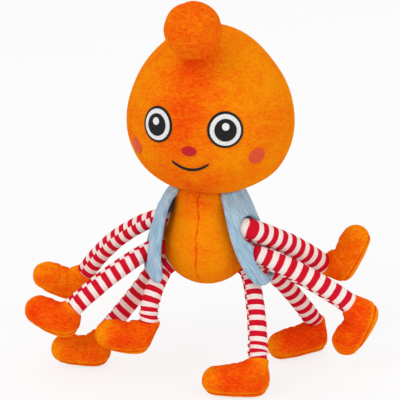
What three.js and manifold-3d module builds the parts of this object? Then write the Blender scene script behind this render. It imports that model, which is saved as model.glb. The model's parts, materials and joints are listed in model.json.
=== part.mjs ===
// A stuffed plush spider: ball head on a pear body, open vest, eight striped legs with soft feet.
// Millimetres, +Z up, the face looks along -Y, standing on the soles of three feet.
import * as THREE from "three";
import { mergeVertices } from "three/addons/utils/BufferGeometryUtils.js";
import Module from "manifold-3d";

const wasm = await Module();
wasm.setup();
const { Manifold, Mesh: SolidMesh } = wasm;

// cloth and sewing
const gap = 0.3;
const wall = 1.3;
const paddedWall = 2;
const hipClearance = 0.1;
const seatClearance = 0.7;
const ankleClearance = 1;

// body
const bodyWidth = 63;
const bodyDepth = 59;
const bodyBottom = 63;
const bodyWaist = 92;
const neckHeight = 128;
const neckRadius = 24;
const bodyMouthRadius = 7;

// head
const headWidth = 116;
const headDepth = 106;
const headHeight = 117;
const headRise = 7;
const headTaper = 0.13;
const headFullness = 0.86;
const headLean = 2.5;
const nodLimit = 8;

// bobble on the head
const bobbleRadius = 19;
const bobbleStalk = 3.5;
const bobbleLatitude = 52;
const bobbleLimit = 18;

// face, embroidered
const threadHeight = 0.7;
const eyeSize = 22;
const eyeLatitude = 0;
const eyeLongitude = 24;
const pupilSize = 15;
const glintSize = 5;
const noseWidth = 10;
const noseHeight = 7;
const noseLatitude = -15;
const smileWidth = 24;
const smileDepth = 6;
const smileThread = 2;
const smileLatitude = -27;
const cheekSize = 12;
const cheekLatitude = -20;
const cheekLongitude = 47;

// vest
const vestRise = 10;
const vestLength = 66.5;
const vestCollar = 4.5;
const vestThickness = 3;
const vestHemRadius = 48;
const vestFlare = 0.55;
const vestLeftOpening = [38, 57];
const vestRightOpening = [50, 33];
const vestSweep = 2;
const vestSideSeam = 16;
const swingClearance = 0.8;

// legs: the two upper pairs pass through the vest, the two lower pairs come out under its hem
const legRootRadius = 6;
const legAnkleRadius = 7.1;
const legSwell = 0.25;

// feet, measured from the ankle pivot
const footDrop = 15;
const footHeelSet = 6;
const footReach = 27.3;
const footLip = 2.6;
const footHem = 1.1;
const footHeelRadius = 11.4;
const footInstepRadius = 10.4;
const footToeRadius = 11.7;
const soleCut = 0.5;
const soleSeam = 6;
const ankleLimit = 18;

// hip: where the leg is sewn on, as an angle round the body from +X and a height; ankle: where the foot hangs
// bow: how far the middle of the leg is off the straight; toe: heading and pitch; swing: hip limits
const legs = [
  {
    name: "left_leg_1",
    hip: [-20, 109],
    ankle: [75.6, 40.6, 69],
    bow: [1, 1, 2],
    toe: [16, 62],
    swing: [-8, 12],
  },
  {
    name: "left_leg_2",
    hip: [-12, 91],
    ankle: [101, 12, 53],
    bow: [0, 0, 3],
    toe: [196, -70],
    swing: [-8, 12],
  },
  {
    name: "left_leg_3",
    hip: [25, 81],
    ankle: [71, 42, 22],
    bow: [1, 2, 2],
    toe: [228, 0],
    swing: [-12, 12],
  },
  {
    name: "left_leg_4",
    hip: [2, 76],
    ankle: [48, -39, 22],
    bow: [2, 1, 2],
    toe: [196, 0],
    swing: [-12, 12],
  },
  {
    name: "right_leg_1",
    hip: [187, 109],
    ankle: [-92, -1, 61],
    bow: [-3, 0, 5],
    toe: [196, 12],
    swing: [-8, 12],
  },
  {
    name: "right_leg_2",
    hip: [201, 91],
    ankle: [-83, -52, 55],
    bow: [0, 0, 3],
    toe: [172, 4],
    swing: [-8, 12],
  },
  {
    name: "right_leg_3",
    hip: [168, 82],
    ankle: [-72, -24, 22],
    bow: [3, 3, 1],
    toe: [196, 0],
    swing: [-12, 8],
  },
  {
    name: "right_leg_4",
    hip: [207, 77],
    ankle: [-33, -36, 44],
    bow: [-2, -4, 0],
    toe: [220, 8],
    swing: [-6, 12],
  },
];

const orange = new THREE.MeshStandardMaterial({ color: "#f07d12", roughness: 0.9, metalness: 0 });
const deepOrange = new THREE.MeshStandardMaterial({ color: "#e8620a", roughness: 0.9, metalness: 0 });
const paleBlue = new THREE.MeshStandardMaterial({ color: "#a9c6e3", roughness: 0.9, metalness: 0 });
const stripedRed = new THREE.MeshStandardMaterial({ color: "#d81c38", roughness: 0.85, metalness: 0 });
const fibre = new THREE.MeshStandardMaterial({ color: "#f2f0ea", roughness: 1, metalness: 0 });
const whiteThread = new THREE.MeshStandardMaterial({ color: "#fbfaf6", roughness: 0.6, metalness: 0 });
const blackThread = new THREE.MeshStandardMaterial({ color: "#17140f", roughness: 0.55, metalness: 0 });
const redThread = new THREE.MeshStandardMaterial({ color: "#d3142c", roughness: 0.6, metalness: 0 });
const cheekThread = new THREE.MeshStandardMaterial({ color: "#e3580c", roughness: 0.7, metalness: 0 });

// facets round the body, round a limb, and inside a limb, where the lining stays a wall clear of the flats
const bodySides = 16;
const limbSides = 8;
const liningSides = 6;
const lining = (radius) => radius * Math.cos(Math.PI / limbSides) - wall * 0.8;
const stuffed = (radius) => lining(radius) - gap * 2;

const up = new THREE.Vector3(0, 0, 1);
const rad = THREE.MathUtils.degToRad;
const turned = (angle) => new THREE.Vector3(Math.cos(rad(angle)), Math.sin(rad(angle)), 0);

function geometryFrom(points, faces) {
  const geometry = new THREE.BufferGeometry();
  const positions = points.flatMap((p) => [p.x, p.y, p.z]);
  geometry.setAttribute("position", new THREE.Float32BufferAttribute(positions, 3));
  geometry.setIndex(faces.flat());
  return geometry;
}

function solidFrom(geometry) {
  const bare = new THREE.BufferGeometry();
  bare.setAttribute("position", geometry.getAttribute("position"));
  bare.setIndex(geometry.getIndex());
  const merged = mergeVertices(bare, 1e-4);
  const index = Array.from(merged.getIndex().array);
  const whole = [];
  for (let i = 0; i < index.length; i += 3) {
    const [a, b, c] = index.slice(i, i + 3);
    if (a !== b && b !== c && c !== a) whole.push(a, b, c);
  }
  const vertProperties = Float32Array.from(merged.getAttribute("position").array);
  return new Manifold(new SolidMesh({ numProp: 3, vertProperties, triVerts: Uint32Array.from(whole) }));
}

function ball(centre, radius, around = 16) {
  const sphere = new THREE.SphereGeometry(radius, around, around / 2);
  sphere.translate(centre.x, centre.y, centre.z);
  return solidFrom(sphere);
}

function rod(from, to, radius, around = 12) {
  const length = from.distanceTo(to);
  const cylinder = new THREE.CylinderGeometry(radius, radius, length, around);
  const along = to.clone().sub(from).normalize();
  cylinder.applyQuaternion(new THREE.Quaternion().setFromUnitVectors(new THREE.Vector3(0, 1, 0), along));
  const middle = from.clone().lerp(to, 0.5);
  cylinder.translate(middle.x, middle.y, middle.z);
  return solidFrom(cylinder);
}

// a closed form through rings; each ring has a centre, two half axes and their lengths; the ends are poles
function loft(rings, around) {
  const points = [];
  const faces = [];
  for (const { centre, u, v, ru, rv } of rings) {
    for (let i = 0; i < around; i++) {
      const angle = (2 * Math.PI * i) / around;
      const point = centre.clone().addScaledVector(u, ru * Math.cos(angle));
      points.push(point.addScaledVector(v, rv * Math.sin(angle)));
    }
  }
  for (let k = 0; k + 1 < rings.length; k++) {
    for (let i = 0; i < around; i++) {
      const j = (i + 1) % around;
      const [a, b, c, d] = [k * around + i, k * around + j, (k + 1) * around + j, (k + 1) * around + i];
      faces.push([a, b, c], [a, c, d]);
    }
  }
  return solidFrom(geometryFrom(points, faces));
}

// a closed sheet over a grid; place(s, t, side) gives its lower face for side 0 and its upper face for side 1
function sheet(across, along, place) {
  const points = [];
  const faces = [];
  const at = (i, j, side) => (side * (along + 1) + j) * (across + 1) + i;
  for (const side of [0, 1]) {
    for (let j = 0; j <= along; j++) {
      for (let i = 0; i <= across; i++) points.push(place(i / across, j / along, side));
    }
  }
  const quad = (a, b, c, d) => faces.push([a, b, c], [a, c, d]);
  for (let j = 0; j < along; j++) {
    for (let i = 0; i < across; i++) {
      quad(at(i, j, 1), at(i + 1, j, 1), at(i + 1, j + 1, 1), at(i, j + 1, 1));
      quad(at(i, j, 0), at(i, j + 1, 0), at(i + 1, j + 1, 0), at(i + 1, j, 0));
    }
  }
  for (let i = 0; i < across; i++) {
    quad(at(i, 0, 0), at(i + 1, 0, 0), at(i + 1, 0, 1), at(i, 0, 1));
    quad(at(i + 1, along, 0), at(i, along, 0), at(i, along, 1), at(i + 1, along, 1));
  }
  for (let j = 0; j < along; j++) {
    quad(at(0, j + 1, 0), at(0, j, 0), at(0, j, 1), at(0, j + 1, 1));
    quad(at(across, j, 0), at(across, j + 1, 0), at(across, j + 1, 1), at(across, j, 1));
  }
  return solidFrom(geometryFrom(points, faces));
}

const toy = new THREE.Group();
toy.name = "plush_spider";
const posed = new THREE.Group();
toy.add(posed);
const joints = [];

function add(name, solid, material) {
  const { vertProperties, triVerts, numProp } = solid.getMesh();
  const geometry = new THREE.BufferGeometry();
  const positions = [];
  for (let i = 0; i < vertProperties.length; i += numProp) {
    positions.push(...vertProperties.slice(i, i + 3));
  }
  geometry.setAttribute("position", new THREE.Float32BufferAttribute(positions, 3));
  geometry.setIndex(Array.from(triVerts));
  geometry.computeVertexNormals();
  const mesh = new THREE.Mesh(geometry, material);
  mesh.name = name;
  posed.add(mesh);
}

// body: round below the waist, drawn in to the neck, closed by a dome that seats the head
function bodyRadius(z) {
  const half = bodyWidth / 2;
  if (z < bodyWaist) {
    const share = (bodyWaist - z) / (bodyWaist - bodyBottom);
    return half * Math.sqrt(Math.max(0, 1 - share ** 2));
  }
  if (z < neckHeight) {
    const share = (z - bodyWaist) / (neckHeight - bodyWaist);
    return neckRadius + (half - neckRadius) * (0.5 + 0.5 * Math.cos(Math.PI * share));
  }
  return Math.sqrt(Math.max(0, neckRadius ** 2 - (z - neckHeight) ** 2));
}

// depth of the body as a share of its width: round at the neck, a little flat below
function bodyFlatness(z) {
  const share = THREE.MathUtils.clamp((neckHeight - z) / (neckHeight - bodyWaist), 0, 1);
  return 1 - (1 - bodyDepth / bodyWidth) * share;
}

// how far the body's faceted surface lies from its axis in a direction
function bodyReach(angle, z) {
  const facet = 360 / bodySides;
  const offMiddle = THREE.MathUtils.euclideanModulo(angle, facet) - facet / 2;
  const flat = Math.cos(rad(facet / 2)) / Math.cos(rad(offMiddle));
  return (flat * bodyRadius(z)) / Math.hypot(Math.cos(rad(angle)), Math.sin(rad(angle)) / bodyFlatness(z));
}

function bodyForm(inset, around) {
  const drop = bodyWaist - bodyBottom;
  const heights = [90, 72, 54, 36, 18].map((a) => bodyWaist - drop * Math.sin(rad(a)));
  heights.push(...[0, 0.28, 0.52, 0.76].map((share) => THREE.MathUtils.lerp(bodyWaist, neckHeight, share)));
  heights.push(...[0, 25, 50, 70, 90].map((a) => neckHeight + neckRadius * Math.sin(rad(a))));
  const middle = (bodyBottom + neckHeight + neckRadius) / 2;
  const share = 1 - inset / (middle - bodyBottom);
  return loft(
    heights.map((z) => {
      const radius = bodyRadius(z);
      const inner = radius > inset ? radius - inset : 0;
      return {
        centre: new THREE.Vector3(0, 0, middle + (z - middle) * share),
        u: new THREE.Vector3(1, 0, 0),
        v: new THREE.Vector3(0, 1, 0),
        ru: inner,
        rv: inner * bodyFlatness(z),
      };
    }),
    around,
  );
}

const neck = new THREE.Vector3(0, 0, neckHeight);
const bodyMouth = rod(neck, new THREE.Vector3(0, 0, neckHeight + neckRadius + 5), bodyMouthRadius);
add("body_skin", bodyForm(0, bodySides).subtract(bodyForm(paddedWall, 12)).subtract(bodyMouth), orange);
add("body_filling", bodyForm(paddedWall + gap, 12), fibre);

// head: a plain egg, wider and flatter below, seated on the neck dome
const headCentre = new THREE.Vector3(headLean, 0, neckHeight + headRise + headHeight / 2);

function headGirth(latitude) {
  const level = Math.sin(rad(latitude));
  const share = Math.max(0, Math.cos(rad(latitude))) ** (level < 0 ? headFullness : 1);
  return share * (1 - headTaper * level);
}

function headPoint(longitude, latitude, offset) {
  const place = (lon, lat) => {
    const girth = headGirth(lat);
    return new THREE.Vector3(
      (headWidth / 2) * girth * Math.sin(rad(lon)),
      (-headDepth / 2) * girth * Math.cos(rad(lon)),
      (headHeight / 2) * Math.sin(rad(lat)),
    ).add(headCentre);
  };
  const here = place(longitude, latitude);
  const east = place(longitude + 0.1, latitude).sub(place(longitude - 0.1, latitude));
  const north = place(longitude, latitude + 0.1).sub(place(longitude, latitude - 0.1));
  return here.addScaledVector(east.cross(north).normalize(), offset);
}

function headForm(inset, around, latitudes) {
  return loft(
    latitudes.map((lat) => {
      const girth = headGirth(lat);
      return {
        centre: headCentre.clone().addScaledVector(up, (headHeight / 2 - inset) * Math.sin(rad(lat))),
        u: new THREE.Vector3(1, 0, 0),
        v: new THREE.Vector3(0, 1, 0),
        ru: Math.max(0, (headWidth / 2 - inset) * girth),
        rv: Math.max(0, (headDepth / 2 - inset) * girth),
      };
    }),
    around,
  );
}

const neckSeat = ball(neck, neckRadius + gap + vestThickness + seatClearance, 20);
const fine = [-90, -72, -54, -36, -18, 0, 18, 36, 54, 72, 90];
const coarse = [-90, -60, -30, 0, 30, 60, 90];
add("head_skin", headForm(0, 20, fine).subtract(headForm(paddedWall, 12, coarse)).subtract(neckSeat), orange);
add("head_filling", headForm(paddedWall + gap, 12, coarse).subtract(neckSeat), fibre);
const nodAxis = new THREE.Vector3(1, 0, 0);
joints.push({ name: "neck_nod", pivot: neck, axis: nodAxis, limits: [-nodLimit, nodLimit] });

// embroidery: thin sheets on the head, each on the layer below
function embroider(name, longitude, latitude, layer, outline, material, across = 4, along = 4) {
  const base = gap + layer * (threadHeight + gap);
  const girth = (headWidth / 2) * headGirth(latitude);
  const place = (s, t, side) => {
    const [x, z] = outline(2 * s - 1, 2 * t - 1);
    const lon = longitude + THREE.MathUtils.radToDeg(x / girth);
    const lat = latitude + THREE.MathUtils.radToDeg(z / (headHeight / 2));
    return headPoint(lon, lat, base + side * threadHeight);
  };
  add(name, sheet(across, along, place), material);
}

const disc = (width, height, x0 = 0, z0 = 0) => (s, t) => [
  x0 + (width / 2) * s * Math.sqrt(1 - (t * t) / 2),
  z0 + (height / 2) * t * Math.sqrt(1 - (s * s) / 2),
];
for (const [side, sign] of [["left", 1], ["right", -1]]) {
  const lon = sign * eyeLongitude;
  embroider(`${side}_eye_white`, lon, eyeLatitude, 0, disc(eyeSize, eyeSize), whiteThread);
  embroider(`${side}_eye_pupil`, lon, eyeLatitude, 1, disc(pupilSize, pupilSize), blackThread);
  const glint = disc(glintSize, glintSize, 0, pupilSize / 2 - glintSize);
  embroider(`${side}_eye_glint`, lon, eyeLatitude, 2, glint, whiteThread, 3, 3);
  const cheek = disc(cheekSize, cheekSize);
  embroider(`${side}_cheek`, sign * cheekLongitude, cheekLatitude, 0, cheek, cheekThread, 3, 3);
}
embroider("nose", 0, noseLatitude, 0, disc(noseWidth, noseHeight), redThread, 3, 3);
const smile = (s, t) => [(smileWidth / 2) * s, smileDepth * (s * s - 0.5) + (smileThread / 2) * t];
embroider("smile", 0, smileLatitude, 0, smile, blackThread, 8, 1);

// rings of a form swept along a curve, with a round dome past each end
function sweep(curve, radiusAt, side, start, end, stations) {
  const rings = [];
  let last = curve.getTangentAt(0);
  let u = side.clone().addScaledVector(last, -side.dot(last)).normalize();
  const place = (share, past, radius) => {
    const here = curve.getTangentAt(share);
    u = u.clone().applyQuaternion(new THREE.Quaternion().setFromUnitVectors(last, here));
    last = here;
    const v = new THREE.Vector3().crossVectors(here, u);
    const centre = curve.getPointAt(share).addScaledVector(here, past);
    rings.push({ centre, u: u.clone(), v, ru: radius, rv: radius });
  };
  for (const a of start) place(0, -radiusAt(0) * Math.sin(rad(a)), radiusAt(0) * Math.cos(rad(a)));
  for (const s of stations) place(s, 0, radiusAt(s));
  for (const a of end) place(1, radiusAt(1) * Math.sin(rad(a)), radiusAt(1) * Math.cos(rad(a)));
  return rings;
}

// the same solid turned about an axis through a pivot
function about(solid, pivot, axis, degrees) {
  const turn = new THREE.Matrix4().makeTranslation(pivot);
  turn.multiply(new THREE.Matrix4().makeRotationAxis(axis, rad(degrees)));
  turn.multiply(new THREE.Matrix4().makeTranslation(pivot.clone().negate()));
  return solid.transform(turn.toArray());
}

// bobble: a stalk that swells into a ball
const tilted = (heading, pitch) =>
  turned(heading).multiplyScalar(Math.cos(rad(pitch))).addScaledVector(up, Math.sin(rad(pitch)));
const bobbleOut = tilted(-90, bobbleLatitude);
const bobblePivot = headPoint(0, bobbleLatitude, bobbleStalk + gap);
const bobbleAxis = new THREE.Vector3(1, 0, 0);

function bobbleForm(inset) {
  const ring = (past, radius) => ({
    centre: bobblePivot.clone().addScaledVector(bobbleOut, past),
    u: bobbleAxis,
    v: new THREE.Vector3().crossVectors(bobbleOut, bobbleAxis),
    ru: Math.max(0, radius),
    rv: Math.max(0, radius),
  });
  const waist = bobbleStalk * 0.7;
  const stalk = [ring(inset - bobbleStalk, 0), ring(inset - waist, waist - inset / 2)];
  const radius = bobbleRadius - inset;
  const globe = [-72, -48, -24, 0, 24, 48, 70, 90].map((a) =>
    ring(bobbleRadius + 2 * gap + radius * Math.sin(rad(a)), radius * Math.cos(rad(a))),
  );
  return loft([...stalk, ...globe], 12);
}

const bobbleBase = bobblePivot.clone().addScaledVector(bobbleOut, -bobbleStalk - 1);
const bobbleMouth = rod(bobbleBase, bobblePivot.clone().addScaledVector(bobbleOut, wall), 1, 8);
add("bobble_skin", bobbleForm(0).subtract(bobbleForm(wall)).subtract(bobbleMouth), orange);
const fillingBase = bobblePivot.clone().addScaledVector(bobbleOut, wall);
const bobbleFilling = bobbleForm(wall + gap).trimByPlane(bobbleOut.toArray(), fillingBase.dot(bobbleOut));
add("bobble_filling", bobbleFilling, fibre);
const wobble = [-bobbleLimit, bobbleLimit];
joints.push({ name: "bobble_wobble", pivot: bobblePivot, axis: bobbleAxis, limits: wobble });

// legs and feet
const swings = [];
const footMouthRadius = legAnkleRadius + ankleClearance + footHem;
const soleDepth = footDrop + footToeRadius * Math.cos(Math.PI / limbSides) - soleCut;

function legRadius(share) {
  const swell = legSwell * 4 * share * (1 - share);
  return legRootRadius + (legAnkleRadius - legRootRadius) * share + swell;
}

for (const { name, hip, ankle, bow, toe, swing } of legs) {
  const slope = (bodyReach(hip[0], hip[1] + 1) - bodyReach(hip[0], hip[1] - 1)) / 2;
  const outward = turned(hip[0]).setZ(-slope).normalize();
  const sewn = turned(hip[0]).multiplyScalar(bodyReach(hip[0], hip[1])).setZ(hip[1]);
  const pivot = sewn.addScaledVector(outward, hipClearance + legRootRadius);
  const end = new THREE.Vector3(...ankle);
  const middle = pivot.clone().lerp(end, 0.5).addScaledVector(new THREE.Vector3(...bow), 2);
  const curve = new THREE.QuadraticBezierCurve3(pivot, middle, end);
  const heading = end.clone().sub(pivot).setZ(0).normalize();
  const hipAxis = new THREE.Vector3().crossVectors(heading, up);
  const stations = [0, 0.25, 0.5, 0.75, 1];
  const legForm = (sized, around) =>
    loft(sweep(curve, (s) => sized(legRadius(s)), hipAxis, [90, 60, 30], [45, 90], stations), around);
  const rootTangent = curve.getTangentAt(0);
  const rootMouth = rod(pivot.clone().addScaledVector(rootTangent, -legRootRadius - 1), pivot, 2, 6);
  const tube = legForm((r) => r, limbSides).subtract(legForm(lining, liningSides)).subtract(rootMouth);
  add(`${name}_tube`, tube, stripedRed);
  add(`${name}_filling`, legForm(stuffed, liningSides), fibre);

  joints.push({ name: `${name}_hip`, pivot, axis: hipAxis, limits: swing });
  const roomy = legForm((r) => (r + swingClearance) / Math.cos(Math.PI / liningSides), liningSides);
  swings.push(...[swing[0], 0, swing[1] / 2, swing[1]].map((angle) => about(roomy, pivot, hipAxis, angle)));

  // foot: a collar on the ankle over a shoe with a round heel and a rounder toe, cut flat under the sole
  const toeWay = tilted(toe[0], toe[1]);
  const footUp = tilted(toe[0], toe[1] + 90);
  const ankleAxis = new THREE.Vector3().crossVectors(toeWay, footUp);
  const facetDown = ankleAxis.clone().applyAxisAngle(toeWay, Math.PI / limbSides);
  const endTangent = curve.getTangentAt(1);
  const at = (forward, drop) => end.clone().addScaledVector(toeWay, forward).addScaledVector(footUp, -drop);
  const shoeLine = new THREE.LineCurve3(at(footHeelSet, footDrop), at(footReach, footDrop));
  const shoeRadius = (share) => [footHeelRadius, footInstepRadius, footToeRadius][2 * share];
  const footForm = (sized, around, inset) => {
    const girth = (s) => sized(shoeRadius(s));
    const shoe = sweep(shoeLine, girth, facetDown, [90, 45], [45, 90], [0, 0.5, 1]);
    const mouth = end.clone().addScaledVector(endTangent, footLip + inset);
    const collarLine = new THREE.LineCurve3(mouth, at(footHeelSet, footDrop));
    const collar = sweep(collarLine, () => sized(footMouthRadius), ankleAxis, [], [], [0, 1]);
    const closed = [{ ...collar[0], ru: 0, rv: 0 }, ...collar, { ...collar[1], ru: 0, rv: 0 }];
    return loft(shoe, around).add(loft(closed, around));
  };
  const normal = footUp.toArray();
  const flipped = footUp.clone().negate().toArray();
  const soleLevel = footUp.dot(end) - soleDepth;
  const flare = footDrop * Math.tan(rad(ankleLimit + 2));
  const legEnd = new THREE.LineCurve3(end.clone().addScaledVector(endTangent, -footDrop), end);
  const socketRadius = (s) => legAnkleRadius + ankleClearance + flare * (1 - s);
  const socket = loft(sweep(legEnd, socketRadius, ankleAxis, [90, 0], [0, 30, 60, 90], []), 10);
  const shell = footForm((r) => r, limbSides, 0).subtract(footForm(lining, liningSides, wall));
  const skin = shell.subtract(socket).trimByPlane(normal, soleLevel);
  add(`${name}_foot_upper`, skin.trimByPlane(normal, soleLevel + soleSeam + gap / 2), deepOrange);
  add(`${name}_foot_sole`, skin.trimByPlane(flipped, -(soleLevel + soleSeam - gap / 2)), deepOrange);
  add(`${name}_foot_filling`, footForm(stuffed, liningSides, wall + gap).subtract(socket), fibre);
  joints.push({ name: `${name}_ankle`, pivot: end, axis: ankleAxis, limits: [-ankleLimit, ankleLimit] });
}

// vest: a flared wrap in three panels, open in front, cut away where the legs swing
const vestTop = neckHeight + vestRise;
const vestRows = [0, vestCollar / vestLength, 0.12, 0.25, 0.45, 0.7, 1];

// the inner face: a collar close to the neck, then a flare down to the hem
function vestRadius(share) {
  const flareTop = vestCollar / vestLength;
  if (share <= flareTop) return bodyRadius(vestTop - vestLength * share) + gap;
  const collar = bodyRadius(vestTop - vestCollar) + gap;
  const down = (share - flareTop) / (1 - flareTop);
  return collar + (vestHemRadius - vestThickness - collar) * down ** vestFlare;
}

function vestPanel(name, from, to, across) {
  const place = (s, t, side) => {
    const share = vestRows[Math.round((1 - t) * (vestRows.length - 1))];
    const [left, right] = [from, to].map(([top, hem]) => THREE.MathUtils.lerp(top, hem, share ** vestSweep));
    const angle = THREE.MathUtils.lerp(left, right, s);
    const z = vestTop - vestLength * share;
    const radius = vestRadius(share) + side * vestThickness;
    return turned(angle).multiplyScalar(radius).setZ(z);
  };
  let panel = sheet(across, vestRows.length - 1, place);
  for (const swept of swings) panel = panel.subtract(swept);
  const largest = panel.decompose().sort((a, b) => b.volume() - a.volume())[0];
  add(name, largest, paleBlue);
}

const seamGap = THREE.MathUtils.radToDeg(gap / vestHemRadius);
const straight = (angle) => [angle, angle];
const leftEdge = vestLeftOpening.map((angle) => angle - 90);
const rightEdge = vestRightOpening.map((angle) => 270 - angle);
vestPanel("vest_left_front", leftEdge, straight(-vestSideSeam - seamGap), 3);
vestPanel("vest_back", straight(-vestSideSeam + seamGap), straight(180 + vestSideSeam - seamGap), 14);
vestPanel("vest_right_front", straight(180 + vestSideSeam + seamGap), rightEdge, 3);

// the part's origin is under its middle, on the floor
const box = new THREE.Box3().setFromObject(posed);
const centre = box.getCenter(new THREE.Vector3());
posed.position.set(-centre.x, -centre.y, -box.min.z);
toy.userData.joints = joints.map(({ name, pivot, axis, limits }) => ({
  name,
  pivot: pivot.clone().add(posed.position).toArray(),
  axis: axis.toArray(),
  limits,
}));

export default toy;
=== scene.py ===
import json
import math

import bmesh
import bpy
import numpy as np
from mathutils import Matrix, Vector, kdtree, noise


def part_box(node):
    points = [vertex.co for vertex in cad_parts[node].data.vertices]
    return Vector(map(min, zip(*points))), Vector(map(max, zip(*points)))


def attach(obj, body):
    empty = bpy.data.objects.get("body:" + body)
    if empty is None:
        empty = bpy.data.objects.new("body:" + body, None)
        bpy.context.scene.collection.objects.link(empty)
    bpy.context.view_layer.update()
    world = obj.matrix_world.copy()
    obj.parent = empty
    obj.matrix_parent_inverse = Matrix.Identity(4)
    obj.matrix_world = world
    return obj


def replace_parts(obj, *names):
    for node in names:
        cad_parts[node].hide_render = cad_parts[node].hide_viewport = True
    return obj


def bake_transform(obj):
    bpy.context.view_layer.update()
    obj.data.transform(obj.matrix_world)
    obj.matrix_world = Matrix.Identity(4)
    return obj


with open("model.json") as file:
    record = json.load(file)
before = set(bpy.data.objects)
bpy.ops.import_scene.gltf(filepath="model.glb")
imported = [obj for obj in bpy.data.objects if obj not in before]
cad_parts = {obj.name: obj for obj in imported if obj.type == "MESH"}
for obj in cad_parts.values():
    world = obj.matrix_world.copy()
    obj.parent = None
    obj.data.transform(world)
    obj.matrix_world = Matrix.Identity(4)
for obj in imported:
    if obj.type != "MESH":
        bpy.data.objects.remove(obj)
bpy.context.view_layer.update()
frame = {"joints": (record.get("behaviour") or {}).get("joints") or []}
scene = bpy.context.scene
mm = 0.001
turn = 2 * math.pi
joints = {joint["name"]: joint for joint in frame["joints"]}


def pivotOf(name):
    return np.array(joints[name]["pos_m"], float)


def unit(vector):
    vector = np.asarray(vector, float)
    return vector / np.linalg.norm(vector, axis=-1, keepdims=True)


def smoothStep(low, high, value):
    share = np.clip((value - low) / (high - low), 0, 1)
    return share * share * (3 - 2 * share)


def smoothMin(a, b, rounding):
    share = np.clip(0.5 + 0.5 * (b - a) / rounding, 0, 1)
    return b * (1 - share) + a * share - rounding * share * (1 - share)


def smoothMax(a, b, rounding):
    return -smoothMin(-a, -b, rounding)


def bell(value, middle, width):
    return np.exp(-((value - middle) / width) ** 2)


def dome(share):
    # height of a quarter circle, from 1 at its middle to 0 at its rim
    return np.sqrt(np.clip(1 - share ** 2, 0, 1))


def shareAlong(points, first, last):
    line = last - first
    return np.clip((points - first) @ line / (line @ line), 0, 1)


def lumps(points, size, seed):
    # uneven stuffing: soft noise from -1 to 1, with bumps about as wide as size
    shift = Vector((seed, seed * 1.7, seed * 0.6))
    return np.array([noise.noise(Vector(p) / size + shift) for p in points])


# camera: the photograph's angle, with the middle of the body where the photograph has it
photoView = {
    "azimuth": 16,
    "elevation": 20,
    "distance": 1.0,
    "metresPerPixel": 0.72 * mm,
    "imageSide": 400,
    "bodyPixel": (207, 243),
    "sensor": 36,
}
neck = pivotOf("neck_nod")
bodyLow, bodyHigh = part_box("body_skin")
waistRise = 29 * mm  # the body's widest level, above its lowest point
waist = bodyLow.z + waistRise
bodyMiddle = Vector((neck[0], neck[1], waist))


def placeCamera(view):
    across = math.radians(view["azimuth"])
    lift = math.radians(view["elevation"])
    right = Vector((math.cos(across), math.sin(across), 0))
    back = Vector((math.sin(across) * math.cos(lift), -math.cos(across) * math.cos(lift), math.sin(lift)))
    up = back.cross(right)
    half = view["imageSide"] / 2
    pixel = view["metresPerPixel"]
    data = bpy.data.cameras.new("photoCamera")
    data.sensor_width = view["sensor"]
    data.lens = view["sensor"] * view["distance"] / (pixel * view["imageSide"])
    camera = bpy.data.objects.new("photoCamera", data)
    scene.collection.objects.link(camera)
    place = bodyMiddle + back * view["distance"]
    place -= right * (view["bodyPixel"][0] - half) * pixel
    place += up * (view["bodyPixel"][1] - half) * pixel
    turned = Matrix((right, up, back)).transposed().to_4x4()
    camera.matrix_world = Matrix.Translation(place) @ turned
    scene.camera = camera


placeCamera(photoView)
scene.view_settings.view_transform = "Standard"


# materials
def startMaterial(name):
    material = bpy.data.materials.new(name)
    material.use_nodes = True
    tree = material.node_tree
    return material, tree, tree.nodes["Principled BSDF"]


def addNode(tree, kind, settings=None, **inputs):
    node = tree.nodes.new(kind)
    for key, value in (settings or {}).items():
        setattr(node, key, value)
    for key, value in inputs.items():
        socket = node.inputs[int(key[1:])] if key[0] == "i" and key[1:].isdigit() else node.inputs[key]
        if isinstance(value, bpy.types.NodeSocket):
            tree.links.new(value, socket)
        else:
            socket.default_value = value
    return node


def coordinates(tree, kind):
    return addNode(tree, "ShaderNodeTexCoord").outputs[kind]


def sums(tree, operation, a, b=0.0, clamp=False):
    node = addNode(tree, "ShaderNodeMath", {"operation": operation, "use_clamp": clamp}, i0=a, i1=b)
    return node.outputs[0]


def scaled(tree, value, factor, shift):
    node = addNode(tree, "ShaderNodeMath", {"operation": "MULTIPLY_ADD"}, i0=value, i1=factor, i2=shift)
    return node.outputs[0]


def speckle(tree, where, scale, detail=2.0, rough=0.5):
    inputs = {"Vector": where, "Scale": scale, "Detail": detail, "Roughness": rough}
    return addNode(tree, "ShaderNodeTexNoise", **inputs).outputs["Fac"]


def tones(tree, share, stops):
    node = addNode(tree, "ShaderNodeValToRGB", Fac=share)
    ramp = node.color_ramp
    while len(ramp.elements) < len(stops):
        ramp.elements.new(0.5)
    for element, (place, colour) in zip(ramp.elements, stops):
        element.position = place
        element.color = (*colour, 1)
    return node.outputs["Color"]


def blended(tree, share, first, second):
    mix = addNode(tree, "ShaderNodeMix", {"data_type": "RGBA"}, i0=share, i6=first, i7=second)
    return mix.outputs[2]


def stretched(tree, where, scale):
    return addNode(tree, "ShaderNodeMapping", Vector=where, Scale=scale).outputs[0]


def bumped(tree, shader, height, strength, depth):
    node = addNode(tree, "ShaderNodeBump", Height=height, Strength=strength, Distance=depth)
    tree.links.new(node.outputs[0], shader.inputs["Normal"])


def setSurface(tree, shader, colour, roughness, specular, pile=None):
    tree.links.new(colour, shader.inputs["Base Color"])
    settings = {"Roughness": roughness, "Specular IOR Level": specular}
    if pile:
        settings["Sheen Weight"], settings["Sheen Tint"] = pile["sheen"], pile["sheenTint"]
        settings["Sheen Roughness"] = 0.45
    for name, value in settings.items():
        shader.inputs[name].default_value = value


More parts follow.
